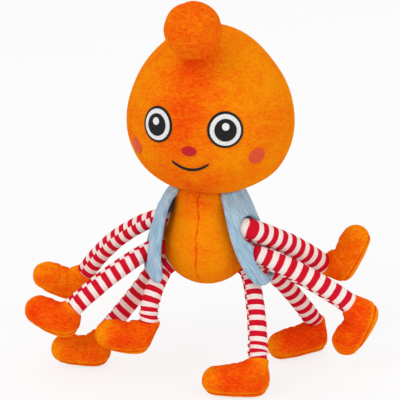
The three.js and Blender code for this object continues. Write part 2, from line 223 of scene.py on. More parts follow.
orangePile = {
    "pale": (0.9, 0.27, 0.003),
    "mid": (0.89, 0.172, 0.003),
    "deep": (0.83, 0.062, 0.003),
    # the seam's brownish tone: a dark seam line with painted shade in its groove
    "seam": (0.42, 0.05, 0.003),
    "patch": 34,
    "stroke": 120,
    "tuft": 640,
    "hair": 1500,
    "sheen": 0.15,
    "sheenTint": (1.0, 0.4, 0.02, 1),
}
footPile = dict(
    orangePile,
    pale=(0.93, 0.28, 0.003), mid=(0.92, 0.14, 0.003), deep=(0.86, 0.045, 0.003), patch=60,
)


def plushCloth(name, pile):
    # short pile, brushed in patches, with tufts a millimetre and a half wide
    # the attribute at 0 gives the pale tone and at 1 the deep one, and above 1 the seam's tone comes in; it
    # holds brushed nap and painted shade
    material, tree, shader = startMaterial(name)
    where = coordinates(tree, "Object")
    nap = addNode(tree, "ShaderNodeAttribute", {"attribute_name": "nap"}).outputs["Fac"]
    share = nap
    for size, stretch, weight in (("patch", (1, 1, 1), 0.8), ("stroke", (0.7, 0.7, 1.2), 0.7)):
        cloud = speckle(tree, stretched(tree, where, stretch), pile[size])
        share = sums(tree, "ADD", share, scaled(tree, cloud, weight, -weight / 2))
    tufts = speckle(tree, stretched(tree, where, (0.55, 0.55, 1.2)), pile["tuft"], 3.0, 0.6)
    hairs = speckle(tree, stretched(tree, where, (0.5, 0.5, 1.1)), pile["hair"])
    share = sums(tree, "ADD", share, scaled(tree, tufts, 1.5, -0.75), True)
    colour = tones(tree, share, ((0.0, pile["pale"]), (0.45, pile["mid"]), (1.0, pile["deep"])))
    sunk = sums(tree, "SUBTRACT", nap, 1.0, True)
    setSurface(tree, shader, blended(tree, sunk, colour, (*pile["seam"], 1)), 1.0, 0.0, pile)
    bumped(tree, shader, scaled(tree, tufts, 0.7, sums(tree, "MULTIPLY", hairs, 0.5)), 0.8, 0.9 * mm)
    return material


vestPile = {
    "pale": (0.54, 0.69, 0.79),
    "mid": (0.345, 0.515, 0.645),
    "deep": (0.19, 0.35, 0.5),
    "streak": (620, 85),
    "patch": 45,
    "bend": 55,
    "bendWidth": 12 * mm,
    "sheen": 0.15,
    "sheenTint": (0.85, 0.92, 1.0, 1),
}


def vestCloth(name, pile):
    # the same short pile, combed: fine streaks that run down the cloth, from the UV map in metres
    material, tree, shader = startMaterial(name)
    where = coordinates(tree, "UV")
    bend = sums(tree, "MULTIPLY", speckle(tree, where, pile["bend"], 1.0), pile["bendWidth"])
    slid = addNode(tree, "ShaderNodeVectorMath", {"operation": "SCALE"}, Vector=(1, 0, 0), Scale=bend)
    swept = addNode(tree, "ShaderNodeVectorMath", {"operation": "ADD"}, i0=where, i1=slid.outputs[0])
    streaks = speckle(tree, stretched(tree, swept.outputs[0], (*pile["streak"], 1)), 1.0, 2.0, 0.55)
    patches = speckle(tree, where, pile["patch"])
    share = sums(tree, "ADD", scaled(tree, streaks, 1.5, -0.45), sums(tree, "MULTIPLY", patches, 0.4), True)
    colour = tones(tree, share, ((0.1, pile["deep"]), (0.5, pile["mid"]), (0.95, pile["pale"])))
    setSurface(tree, shader, colour, 1.0, 0.0, pile)
    bumped(tree, shader, streaks, 0.7, 0.8 * mm)
    return material


stripes = {
    "red": (0.6, 0.003, 0.018),
    "redWorn": (0.7, 0.012, 0.035),
    "white": (0.9, 0.77, 0.72),
    "whiteWorn": (0.95, 0.87, 0.84),
    "redShare": 0.53,
    "edge": 0.018,
    "stepAtSeam": 0.38,
    "ribs": 52,
    "rows": 10,
    "wobble": 260,
    "wobbleShare": 0.09,
    "wear": 900,
}


def stripedJersey(name, knit):
    # UV map: x once round the tube, y counts stripe pairs along it; the stripes step at the seam
    material, tree, shader = startMaterial(name)
    where = coordinates(tree, "UV")
    space = coordinates(tree, "Object")
    split = addNode(tree, "ShaderNodeSeparateXYZ", Vector=where)
    along = scaled(tree, speckle(tree, space, knit["wobble"]), knit["wobbleShare"], split.outputs[1])
    edge, red = knit["edge"], knit["redShare"]
    cover = tones(
        tree, sums(tree, "FRACT", along),
        ((0.0, (0, 0, 0)), (edge, (1, 1, 1)), (red, (1, 1, 1)), (red + edge, (0, 0, 0))),
    )
    wearAndShade = speckle(tree, space, knit["wear"], 3.0, 0.65)
    redTone = tones(tree, wearAndShade, ((0.3, knit["red"]), (0.75, knit["redWorn"])))
    whiteTone = tones(tree, wearAndShade, ((0.3, knit["white"]), (0.7, knit["whiteWorn"])))
    setSurface(tree, shader, blended(tree, cover, whiteTone, redTone), 0.95, 0.05)
    rib = sums(tree, "SINE", sums(tree, "MULTIPLY", split.outputs[0], turn * knit["ribs"]))
    row = sums(tree, "SINE", sums(tree, "MULTIPLY", split.outputs[1], turn * knit["rows"]))
    height = scaled(tree, rib, 0.6, sums(tree, "MULTIPLY", row, 0.4))
    bumped(tree, shader, sums(tree, "ADD", height, wearAndShade), 0.35, 0.25 * mm)
    return material


embroidery = {
    "threadWidth": 0.5 * mm,
    "uneven": (2200, 180, 1),
    "white": ((0.8, 0.79, 0.77), (0.93, 0.93, 0.92)),
    "black": ((0.004, 0.004, 0.005), (0.018, 0.018, 0.02)),
    "red": ((0.48, 0.006, 0.015), (0.66, 0.02, 0.03)),
    "cheek": ((0.7, 0.06, 0.02), (0.84, 0.115, 0.03)),
}


def satinThread(name, form, dark, light):
    # the UV map's x, in metres, crosses the stitches
    material, tree, shader = startMaterial(name)
    where = coordinates(tree, "UV")
    uneven = speckle(tree, stretched(tree, where, form["uneven"]), 1.0)
    split = addNode(tree, "ShaderNodeSeparateXYZ", Vector=where)
    ridge = sums(tree, "SINE", sums(tree, "MULTIPLY", split.outputs[0], turn / form["threadWidth"]))
    share = sums(tree, "ADD", scaled(tree, ridge, 0.25, 0.1), uneven, True)
    setSurface(tree, shader, tones(tree, share, ((0.25, dark), (0.85, light))), 0.6, 0.15)
    bumped(tree, shader, sums(tree, "ADD", ridge, uneven), 0.5, 0.2 * mm)
    return material


orangePlush = plushCloth("orangePlush", orangePile)
footPlush = plushCloth("footPlush", footPile)
vestPlush = vestCloth("vestPlush", vestPile)
jersey = stripedJersey("stripedJersey", stripes)
threads = {
    colour: satinThread(colour + "Thread", embroidery, *embroidery[colour])
    for colour in ("white", "black", "red", "cheek")
}
print("materials made:", len(bpy.data.materials))


# meshes
def rolledSheet(around, along, place, weld=True):
    # a flat grid, with u across and v along it, moved point by point into a shape and welded where it meets
    bm = bmesh.new()
    bmesh.ops.create_grid(bm, x_segments=around, y_segments=along, size=0.5)
    bm.verts.index_update()
    flat = np.array([vert.co for vert in bm.verts]) + 0.5
    points, cloth = place(flat[:, 0], flat[:, 1])
    uv = bm.loops.layers.uv.new("cloth")
    for face in bm.faces:
        for loop in face.loops:
            loop[uv].uv = cloth[loop.vert.index]
    for vert, point in zip(bm.verts, points):
        vert.co = point
    if weld:
        bmesh.ops.remove_doubles(bm, verts=bm.verts, dist=0.002 * mm)
        bmesh.ops.recalc_face_normals(bm, faces=bm.faces)
    return bm


def makePiece(name, bm, material, nap=None):
    mesh = bpy.data.meshes.new(name)
    bm.to_mesh(mesh)
    bm.free()
    mesh.polygons.foreach_set("use_smooth", [True] * len(mesh.polygons))
    mesh.materials.append(material)
    if nap:
        points = np.array([vert.co for vert in mesh.vertices])
        tone = mesh.attributes.new("nap", "FLOAT", "POINT")
        tone.data.foreach_set("value", nap(points).astype(np.float32))
    piece = bpy.data.objects.new(name, mesh)
    scene.collection.objects.link(piece)
    return piece


def sewPiece(name, form, place, material, nap=None):
    return makePiece(name, rolledSheet(form["around"], form["along"], place), material, nap)


def gathered(u, seams, pull):
    # the same turn with the points drawn together at evenly spaced seams
    return u - pull * np.sin(turn * seams * u) / (turn * seams)


# body: a stuffed pear of four panels; its ball top is the seat of the head
bodyForm = {
    "around": 208,
    "along": 150,
    "waistAt": 0.36,
    "neckAt": 0.74,
    "seamDepth": 0.75 * mm,
    "seamWidth": 0.5 * mm,
    "puckerLength": 4.6 * mm,
    "puckerReach": 4 * mm,
    "puckerDepth": 0.22 * mm,
    "wander": 0.45 * mm,
    "stain": 0.55 * mm,
    "lump": 0.55 * mm,
    "lumpSize": 17 * mm,
}
bodyHalf = (bodyHigh.x - bodyLow.x) / 2
bodyFlat = (bodyHigh.y - bodyLow.y) / (bodyHigh.x - bodyLow.x)
neckRadius = bodyHigh.z - neck[2]


def bodyRadius(z):
    low = bodyHalf * dome((waist - z) / waistRise)
    share = np.clip((z - waist) / (neck[2] - waist), 0, 1)
    mid = neckRadius + (bodyHalf - neckRadius) * (0.5 + 0.5 * np.cos(math.pi * share))
    top = neckRadius * dome((z - neck[2]) / neckRadius)
    return np.where(z < waist, low, np.where(z < neck[2], mid, top))


def seamDip(distance, run, form):
    # a groove that pulls the cloth in, deeper at each stitch
    pucker = form["puckerLength"]
    stitch = 0.72 + 0.28 * np.sin(turn * run / pucker + 2.3 * np.sin(turn * run / (pucker * 3.7)))
    return form["seamDepth"] * stitch * np.exp(-np.abs(distance / form["seamWidth"]) ** 1.3)


def seamWander(z):
    # the seams are not sewn quite straight
    return bodyForm["wander"] * (np.sin(turn * z / (23 * mm)) + 0.5 * np.sin(turn * z / (8.7 * mm) + 1))


def bodyShape(u, v):
    form = bodyForm
    low, mid = form["waistAt"], form["neckAt"]
    z = waist - waistRise * np.cos(math.pi / 2 * np.clip(v / low, 0, 1))
    z += (neck[2] - waist) * np.clip((v - low) / (mid - low), 0, 1)
    z += neckRadius * np.sin(math.pi / 2 * np.clip((v - mid) / (1 - mid), 0, 1))
    angle = turn * gathered(u, 4, 0.82) - math.pi / 2
    radius = bodyRadius(z)
    wide = np.stack([np.cos(angle), np.sin(angle)], 1)
    flat = 1 - (1 - bodyFlat) * np.clip((neck[2] - z) / (neck[2] - waist), 0, 1)
    points = np.stack([wide[:, 0] * radius, wide[:, 1] * radius * flat, z], 1)
    points[:, :2] += neck[:2]
    quarter = (angle + math.pi / 4) % (math.pi / 2) - math.pi / 4
    aside = quarter * radius - seamWander(z)
    uneven = 2.3 * np.sin(turn * z / (17 * mm))
    pucker = form["puckerDepth"] * np.sin(turn * z / form["puckerLength"] + uneven + aside / (2 * mm))
    dip = seamDip(aside, z, form) + pucker * np.exp(-np.abs(aside) / form["puckerReach"])
    dip *= smoothStep(0, 14 * mm, radius)
    swell = form["lump"] * lumps(points, form["lumpSize"], 3.1) * smoothStep(0, 20 * mm, radius)
    swell *= smoothStep(bodyHigh.z - 14 * mm, neck[2] - 6 * mm, z)
    points[:, :2] += wide * (swell - dip)[:, None]
    return points, np.stack([u, v], 1)


def bodyShadeAndSeam(points):
    # painted shade: deeper at the sides, where the vest shades the body, and at the top under the chin;
    # deeper by the front seam, and brownish in the seam itself, a dark seam line with painted shade in its
    # groove
    away = points - np.array(bodyMiddle)
    side = np.abs(away[:, 0]) / bodyHalf
    front = bell(away[:, 0], seamWander(points[:, 2]), bodyForm["stain"]) * (away[:, 1] < 0)
    sunk = front * smoothStep(-28 * mm, -20 * mm, away[:, 2])
    wearAndShade = 0.06 + 0.32 * smoothStep(0.5, 0.95, side) + 0.22 * smoothStep(18 * mm, 34 * mm, away[:, 2])
    wearAndShade += 0.12 * np.exp(-np.abs(away[:, 0]) / (5 * mm))
    return wearAndShade + sunk * (0.72 + 0.34 * np.sin(turn * points[:, 2] / (11 * mm)))


body = sewPiece("body", bodyForm, bodyShape, orangePlush, bodyShadeAndSeam)
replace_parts(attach(body, "root"), "body_skin", "body_filling")
print("body sewn:", len(body.data.polygons), "faces")


# head: a stuffed egg of a front and a back half, with a hollow underneath that sits on the neck
headForm = {
    "around": 256,
    "along": 170,
    "halfWidth": 58 * mm,
    "halfDepth": 53 * mm,
    "halfHeight": 58.5 * mm,
    "taper": 0.13,
    "fullness": 0.86,
    "seatGap": 0.5 * mm,
    "seatRound": 3 * mm,
    "vestRoom": 4.2 * mm,
    "vestLeft": (14, 33),
    "vestRight": (-25, -44),
    "shoulder": ((28.4, 21), (31.8, 6), (35.2, -3), (40, -15)),  # millimetres from the pivot, degrees up
    "shoulderRoom": 2,
    "shoulderRound": 0.06,
    "seamDepth": 0.8 * mm,
    "seamWidth": 1.2 * mm,
    "puckerLength": 5.2 * mm,
    "lump": 0.8 * mm,
    "lumpSize": 26 * mm,
}
headLow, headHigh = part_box("head_skin")
headMiddle = np.array([(headLow.x + headHigh.x) / 2, neck[1], headHigh.z - headForm["halfHeight"]])


def headPoint(latitude, longitude, proud=0.0):
    # latitude up from the middle, longitude 0 straight ahead and growing to the toy's left
    full = np.where(latitude < 0, headForm["fullness"], 1)
    girth = np.clip(np.cos(latitude), 0, 1) ** full * (1 - headForm["taper"] * np.sin(latitude))
    out = np.stack([
        np.sin(longitude) * girth * (headForm["halfWidth"] + proud),
        -np.cos(longitude) * girth * (headForm["halfDepth"] + proud),
        np.sin(latitude) * (headForm["halfHeight"] + proud),
    ], -1)
    points = headMiddle + out
    return points + unit(out) * (headForm["lump"] * lumps(points, headForm["lumpSize"], 7.7))[:, None]


def seated(points):
    # hollow over the neck; over the vest the underside keeps clear of its shoulders when the head nods
    away = points - neck
    ahead = np.degrees(np.arctan2(away[:, 0], -away[:, 1]))
    left, right = (smoothStep(*headForm[side], ahead) for side in ("vestLeft", "vestRight"))
    clothed = np.maximum(left, right)
    seat = neckRadius + headForm["seatGap"] + headForm["vestRoom"] * clothed
    reach = smoothMax(np.linalg.norm(away, axis=1), seat, headForm["seatRound"])
    across = np.maximum(np.linalg.norm(away[:, :2], axis=1), 1e-9)
    rise = np.arctan2(away[:, 2], across)
    nod = joints["neck_nod"]["range_deg"][1] * np.abs(away[:, 1]) / across
    distances, angles = zip(*headForm["shoulder"])
    least = np.radians(np.interp(reach / mm, distances, angles) + nod + headForm["shoulderRoom"])
    rise += clothed * (smoothMax(rise, least, headForm["shoulderRound"]) - rise)
    flat = away[:, :2] / across[:, None] * np.cos(rise)[:, None]
    return neck + np.concatenate([flat, np.sin(rise)[:, None]], 1) * reach[:, None]


def headShape(u, v):
    latitude = math.pi * (0.5 - v)
    longitude = turn * gathered(u, 2, 0.8) + math.pi / 2
    points = headPoint(latitude, longitude)
    girth = np.cos(latitude) * headForm["halfWidth"]
    side = longitude % math.pi - math.pi / 2
    dip = seamDip(side * girth, latitude * headForm["halfHeight"], headForm)
    points -= unit(points - headMiddle) * (dip * smoothStep(0, 12 * mm, girth))[:, None]
    return seated(points), np.stack([u, v], 1)


def headNapAndShade(points):
    # deeper in a band brushed up from the nose and on the cheeks, and deeper under the chin as painted
    # shade
    away = points - headMiddle
    longitude = np.degrees(np.arctan2(away[:, 0], -away[:, 1]))
    height = away[:, 2] / headForm["halfHeight"]
    brushed = bell(longitude, 8 * height - 9, 23) * smoothStep(-0.9, 0.3, height)
    chinShade = bell(longitude, -5, 32) * smoothStep(-0.35, -0.85, height)
    cheeks = bell(np.abs(longitude), 62, 24) * bell(height, -0.1, 0.35)
    return 0.18 + 0.64 * brushed + 0.55 * chinShade + 0.15 * cheeks


head = sewPiece("head", headForm, headShape, orangePlush, headNapAndShade)
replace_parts(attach(head, "head"), "head_skin", "head_filling")
print("head sewn:", len(head.data.polygons), "faces")


# topknot: a round stuffed bobble of four gores, gathered on a short stalk
bobbleForm = {
    "around": 160,
    "along": 96,
    "tilt": 52,
    "radius": 19 * mm,
    "ballGap": 0.6 * mm,
    "stalkRadius": 6.2 * mm,
    "stalkLength": 7.5 * mm,
    "stalkFlare": 0.55,
    "stalkShare": 0.14,
    "seamDepth": 0.8 * mm,
    "seamWidth": 1 * mm,
    "puckerLength": 3.6 * mm,
    "pleats": 11,
    "pleatDepth": 0.7 * mm,
    "lump": 0.4 * mm,
    "lumpSize": 9 * mm,
    "bendStart": 3 * mm,
    "bendEnd": 5 * mm,
}
bobblePivot = pivotOf("bobble_wobble")
bobbleTilt = math.radians(bobbleForm["tilt"])
bobbleOut = np.array([0, -math.cos(bobbleTilt), math.sin(bobbleTilt)])
bobbleSide = np.array([1.0, 0, 0])
bobbleUp = np.cross(bobbleOut, bobbleSide)


def bobbleShape(u, v):
    # v runs from the stalk's foot, inside the head, to the top of the ball
    form = bobbleForm
    radius, stalk = form["radius"], form["stalkRadius"]
    start = -form["stalkLength"]
    join = math.asin(stalk / radius)
    ballCentre = form["ballGap"] + radius
    foot = form["stalkShare"]
    share = np.clip((v - foot) / (1 - foot), 0, 1)
    polar = join + (math.pi - join) * share
    lowHeight = ballCentre - radius * math.cos(join)
    height = np.where(v < foot, start + (lowHeight - start) * v / foot, ballCentre - radius * np.cos(polar))
    spread = stalk * (1 + form["stalkFlare"] * np.clip(1 - v / foot, 0, 1) ** 2)
    girth = np.where(v < foot, spread, radius * np.sin(polar))
    girth = np.where(v <= 0, 0, girth)
    angle = turn * gathered(u, 4, 0.75) + 0.5
    low = smoothStep(0.42, 0.0, share) * (v > foot)
    pleat = form["pleatDepth"] * low * np.cos(form["pleats"] * angle + 1.3 * np.sin(2 * angle))
    quarter = (angle - 0.5 + math.pi / 4) % (math.pi / 2) - math.pi / 4
    dip = seamDip(quarter * girth, polar * radius, form) * smoothStep(0, 7 * mm, girth)
    around = np.cos(angle)[:, None] * bobbleSide + np.sin(angle)[:, None] * bobbleUp
    points = bobblePivot + around * girth[:, None] + bobbleOut * height[:, None]
    middle = bobblePivot + bobbleOut * ballCentre
    swell = form["lump"] * lumps(points, form["lumpSize"], 5.2)
    swell *= (v > foot) * smoothStep(0, 5 * mm, girth)
    points += unit(points - middle + 1e-9) * (swell - dip + pleat * smoothStep(0, 6 * mm, girth))[:, None]
    return points, np.stack([u, v], 1)


def bobbleShade(points):
    # deep all over, and deeper toward the stalk as painted shade where the ball meets the head
    rise = (points - bobblePivot) @ bobbleOut / (2 * bobbleForm["radius"])
    return 0.64 + 0.36 * smoothStep(0.35, 0.0, rise)


bobble = sewPiece("topknot", bobbleForm, bobbleShape, orangePlush, bobbleShade)
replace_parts(bobble, "bobble_skin", "bobble_filling")
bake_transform(bobble)
print("topknot sewn:", len(bobble.data.polygons), "faces")


# face: satin-stitch patches that follow the curve of the head
def onHead(latitude, longitude, east, north, proud):
    # lengths east and north of a spot on the head
    up = latitude + north / headForm["halfHeight"]
    bearing = longitude + east / (headForm["halfWidth"] * math.cos(latitude))
    return headPoint(up, bearing, proud)


patchForm = {
    "around": 64,
    "along": 26,
    "fold": 0.62,
    "turnedIn": 0.35,
    "rim": 0.1,
    "holeRim": 0.35,
    "sunk": 0.5 * mm,
}


def stitchedPatch(name, spot, size, base, rise, thread, node=None, hole=0.0):
    # an oval patch (or a ring round a hole) at spot = (latitude, longitude), standing rise above base
    latitude, longitude = math.radians(spot[0]), math.radians(spot[1])
    across = np.array(size) / 2

    def shape(u, v):
        # out from the middle on top, over the rounded rim and back under
        fold = patchForm["fold"]
        share = np.where(v < fold, v / fold, 1 - (v - fold) / (1 - fold) * patchForm["turnedIn"])
        share = hole + (1 - hole) * share
        edge = np.clip((1 - share) / patchForm["rim"], 0, 1)
        if hole:
            edge = np.minimum(edge, np.clip((share - hole) / ((1 - hole) * patchForm["holeRim"]), 0, 1))
        proud = np.where(v < fold, base + rise * dome(1 - edge), base - patchForm["sunk"])
        angle = turn * u
        east = across[0] * share * np.cos(angle)
        north = across[1] * share * np.sin(angle)
        stitch = np.stack([north if not hole else angle * across[0], east], 1)
        return onHead(latitude, longitude, east, north, proud), stitch

    patch = sewPiece(name, patchForm, shape, threads[thread])
    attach(patch, "head")
    if node:
        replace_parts(patch, node)


faceForm = {
    "eyeLatitude": 0,
    "eyeLongitude": 24,
    "eye": 22 * mm,
    "outline": 24.6 * mm,
    "outlineHole": 0.95,
    "pupil": 15 * mm,
    "glint": 5 * mm,
    "noseLatitude": -15,
    "nose": (10 * mm, 7 * mm),
    "cheekLatitude": -20,
    "cheekLongitude": 47,
    "cheek": 12 * mm,
    "rise": 0.7 * mm,
}


def sewFace(form):
    rise = form["rise"]
    lift = math.degrees((form["pupil"] / 2 - form["glint"]) / headForm["halfHeight"])
    hole = form["eye"] / form["outline"] * form["outlineHole"]
    outline, cheek = (form["outline"],) * 2, (form["cheek"],) * 2
    for side, sign in (("left", 1), ("right", -1)):
        spot = (form["eyeLatitude"], sign * form["eyeLongitude"])
        high = (spot[0] + lift, spot[1])
        stitchedPatch(side + "EyeOutline", spot, outline, 0, rise * 1.3, "black", hole=hole)
        for part, place, width, step, thread in (
            ("white", spot, form["eye"], 0, "white"),
            ("pupil", spot, form["pupil"], 1, "black"),
            ("glint", high, form["glint"], 2, "white"),
        ):
            name, node = side + "Eye" + part.capitalize(), side + "_eye_" + part
            stitchedPatch(name, place, (width, width), rise * step, rise, thread, node)
        spot = (form["cheekLatitude"], sign * form["cheekLongitude"])
        stitchedPatch(side + "Cheek", spot, cheek, 0, rise, "cheek", side + "_cheek")
    stitchedPatch("nose", (form["noseLatitude"], 0), form["nose"], 0, rise * 1.5, "red", "nose")


smileForm = {
    "around": 20,
    "along": 110,
    "latitude": -27,
    "width": 24 * mm,
    "depth": 6 * mm,
    "thread": 2 * mm,
    "stitches": 15,
}


def smileShape(u, v):
    # a cord of slanted stitches along a shallow arc
    form = smileForm
    share = np.clip(v, 0, 1) * 2 - 1
    east = share * form["width"] / 2
    north = form["depth"] * (share ** 2 - 0.5)
    thick = form["thread"] / 2 * dome(share ** 7)
    thick = thick * (1 + 0.1 * np.cos(turn * v * form["stitches"] + turn * u))
    angle = turn * u
    high, proud = north + thick * np.cos(angle), 0.1 * mm + thick * np.sin(angle)
    points = onHead(math.radians(form["latitude"]), 0, east, high, proud)
    return points, np.stack([east + north * 0.5, north], 1)


sewFace(faceForm)
smile = sewPiece("smile", smileForm, smileShape, threads["black"])
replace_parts(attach(smile, "head"), "smile")
print("face embroidered")


# legs: striped jersey tubes, sewn to the body at one end and into a foot at the other
legForm = {
    "around": 72,
    "along": 150,
    "swell": 0.3 * mm,
    "sewnAt": 6.1 * mm,
    "tuckIn": 3 * mm,
    "intoFoot": 5.5 * mm,
    "endShare": 0.02,
    "narrowing": 0.4,
    "seamDepth": 0.75 * mm,
    "seamWidth": 0.9 * mm,
    "puckerLength": 4 * mm,
    "pull": 0.25 * mm,
    "pullReach": 4 * mm,
    "lump": 0.28 * mm,
    "lumpSize": 5.5 * mm,
    "crimpStart": 26 * mm,
    "crimpFull": 12 * mm,
    "crimpStep": 5.2 * mm,
    "crowdReach": 16 * mm,
    "crowding": 1.3,
    "tilt": 0.5,
    "tiltStep": 17 * mm,
    "bendEnd": 8 * mm,
}
# tube: bow of its middle, radius at the body and at the foot, the way its seam faces
# cloth: length of a pair of stripes, the share of it they start at, how crumpled it is above the foot
# foot: heading and pitch of the toe in degrees, how far the toe curls up, the instep dips, the heel is
# ahead of the ankle, the sole bulges and the cuff is beyond the ankle, and how much painted shade reddens
# its middle
# all lengths in millimetres
legs = {
    "left_leg_1": {
        "bow": (1, 1, 2), "radius": (7.5, 7.8), "seam": (0.2, -0.3, -0.9),
        "stripe": 9.4, "phase": 0.95, "crimp": 0,
        "toe": (16, 62), "curl": 1.5, "dip": 2.2, "heel": 6, "sole": 1.5, "lip": 2.2, "blush": 0.33,
    },
    "left_leg_2": {
        "bow": (0, 0, 3), "radius": (6.9, 7.4), "seam": (0.1, -0.7, -0.7),
        "stripe": 9.2, "phase": 0.1, "crimp": 0,
        "toe": (196, -70), "curl": 3.5, "dip": 3.6, "heel": 6, "sole": 1.5, "lip": 2.2, "blush": 0.68,
    },
    "left_leg_3": {
        "bow": (1, 2, 2), "radius": (5.4, 6.7), "seam": (0.8, 0.5, 0.2),
        "stripe": 8.0, "phase": 0.55, "crimp": 0.3,
        "toe": (228, 0), "curl": 0.6, "dip": 0.2, "heel": 0.5, "sole": 0.4, "lip": 2.2, "blush": 0.85,
    },
    "left_leg_4": {
        "bow": (2, 1, 2), "radius": (5.7, 6.9), "seam": (-0.7, -0.7, 0),
        "stripe": 7.7, "phase": 0.8, "crimp": 0.7,
        "toe": (196, 0), "curl": 0.6, "dip": 0, "heel": 3, "sole": 0.4, "lip": -2.0, "blush": 0.62,
    },
    "right_leg_1": {
        "bow": (-3, 0, 5), "radius": (5.4, 7.1), "seam": (-0.2, -0.9, 0.5),
        "stripe": 8.1, "phase": 0.45, "crimp": 0,
        "toe": (196, 12), "curl": 4.0, "dip": 1.6, "heel": 7.5, "sole": 1.2, "lip": 2.2, "blush": 0.28,
    },
    "right_leg_2": {
        "bow": (0, 0, 3), "radius": (5.6, 7.1), "seam": (-0.4, -0.6, 0.7),
        "stripe": 8.1, "phase": 0.7, "crimp": 0,
        "toe": (172, 4), "curl": 4.0, "dip": 1.6, "heel": 8.5, "sole": 1.2, "lip": 2.2, "blush": 0.8,
    },
    "right_leg_3": {
        "bow": (3, 3, 1), "radius": (5.6, 6.7), "seam": (-0.8, -0.4, 0.2),
        "stripe": 7.9, "phase": 0.2, "crimp": 0,
        "toe": (196, 0), "curl": 2.5, "dip": 2.0, "heel": 7, "sole": 0.4, "lip": 2.2, "blush": 0.38,
    },
    "right_leg_4": {
        "bow": (-2, -4, 0), "radius": (5.5, 6.6), "seam": (0.8, 0.5, 0),
        "stripe": 7.2, "phase": 0.6, "crimp": 0.6,
        "toe": (220, 8), "curl": 4.5, "dip": 1.8, "heel": 8.5, "sole": 1, "lip": 2.2, "blush": 0.62,
    },
}


def bodyOutward(point):
    # the way out of the body's surface near a point
    away = point[:2] - neck[:2]
    step = 0.5 * mm
    below, above = bodyRadius(point[2] + np.array([-step, step]))
    return unit([*unit(away), (below - above) / (2 * step)])


def runAlong(path):
    return np.concatenate([[0], np.cumsum(np.linalg.norm(np.diff(path, axis=0), axis=1))])


def pointsAt(at, run, line):
    return np.stack([np.interp(at, run, line[:, k]) for k in range(3)], 1)


def legLine(name, count=240):
    # out of the body square to its surface, then along the bowed line to the ankle and on into the foot
    hip, ankle = pivotOf(name + "_hip"), pivotOf(name + "_ankle")
    middle = (hip + ankle) / 2 + 2 * mm * np.array(legs[name]["bow"])
    out = bodyOutward(hip)
    reach = legForm["sewnAt"] + legForm["tuckIn"]
    share = np.linspace(0, 1, 400)[:, None]
    bowed = hip * (1 - share) ** 2 + 2 * middle * share * (1 - share) + ankle * share ** 2
    last = unit(ankle - middle)
    beyond = ankle + last * np.linspace(0, legForm["intoFoot"], 30)[1:, None]
    inward = hip - out * np.linspace(reach, 0, 40)[:-1, None]
    path = np.concatenate([inward, bowed, beyond])
    for _ in range(3):  # ease the turn at the hip
        run = runAlong(path)
        path = pointsAt(np.linspace(0, run[-1], count), run, path)
        for _ in range(14):
            path[1:-1] = (path[:-2] + 2 * path[1:-1] + path[2:]) / 4
    return path, runAlong(path), last


def legRadius(name, run):
    root, ankle = (size * mm for size in legs[name]["radius"])
    share = run / run[-1]
    return root + (ankle - root) * share ** 0.8 + legForm["swell"] * 4 * share * (1 - share)


def carriedSides(path, facing):
    # two directions square to the path at each point, carried along it without twist
    along = unit(np.gradient(path, axis=0))
    side = np.zeros_like(path)
    last = np.array(facing, float)
    for k in range(len(path) - 1, -1, -1):
        last = unit(last - along[k] * (last @ along[k]))
        side[k] = last
    return side, np.cross(along, side)


def hipBend(name, path):
    # both ends of the stretch where a leg bends at the hip
    hip = pivotOf(name + "_hip")
    ahead = unit(path[len(path) // 4] - hip)
    return hip - bodyOutward(hip) * legForm["sewnAt"], hip + ahead * legForm["bendEnd"]


def sewLeg(name):
    form, leg = legForm, legs[name]
    path, run, _ = legLine(name)
    radius = legRadius(name, run)
    seamSide, otherSide = carriedSides(path, leg["seam"])
    length = run[-1]
    inside = length - form["intoFoot"] + (leg["lip"] + 0.4) * mm
    seed = sum(map(ord, name)) * 0.37 % 9

    def shape(u, v):
        at = v * length
        centre, one, two = (pointsAt(at, run, line) for line in (path, seamSide, otherSide))
        angle = turn * gathered(u, 1, 0.7)
        away = one * np.cos(angle)[:, None] + two * np.sin(angle)[:, None]
        closing = np.clip(1 - np.minimum(v, 1 - v) / form["endShare"], 0, 1)
        girth = np.interp(at, run, radius) * dome(closing)
        girth = girth * (1 - form["narrowing"] * smoothStep(inside, length, at))
        arc = ((angle + math.pi) % turn - math.pi) * girth
        pull = form["pull"] * np.exp(-np.abs(arc) / form["pullReach"])
        pull *= np.sin(turn * at / form["puckerLength"] + seed)
        crimp = leg["crimp"] * mm * np.sin(turn * at / form["crimpStep"] + 0.8 * np.sin(angle))
        crimp *= smoothStep(length - form["crimpStart"], length - form["crimpFull"], at)
        crimp *= smoothStep(inside, inside - 4 * mm, at)
        points = centre + away * girth[:, None]
        swell = form["lump"] * lumps(points, form["lumpSize"], seed)
        points += away * ((swell - seamDip(arc, at, form) + pull + crimp) * (girth > 0.5 * mm))[:, None]
        # the stripes crowd together and tilt where the cloth is crumpled
        near = smoothStep(inside - form["crowdReach"], inside, at)
        tilt = form["tilt"] * np.cos(angle - seed) * np.sin(turn * at / form["tiltStep"])
        count = at / (leg["stripe"] * mm) + leg["phase"] + stripes["stepAtSeam"] * (u - 0.5)
        count += leg["crimp"] * near * (form["crowding"] * near + tilt)
        return points, np.stack([u, count], 1)

    tube = sewPiece(name + "_tube_cloth", form, shape, jersey)
    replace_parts(tube, name + "_tube", name + "_filling")
    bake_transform(tube)


for legName in legs:
    sewLeg(legName)
print("legs sewn:", len(legs))


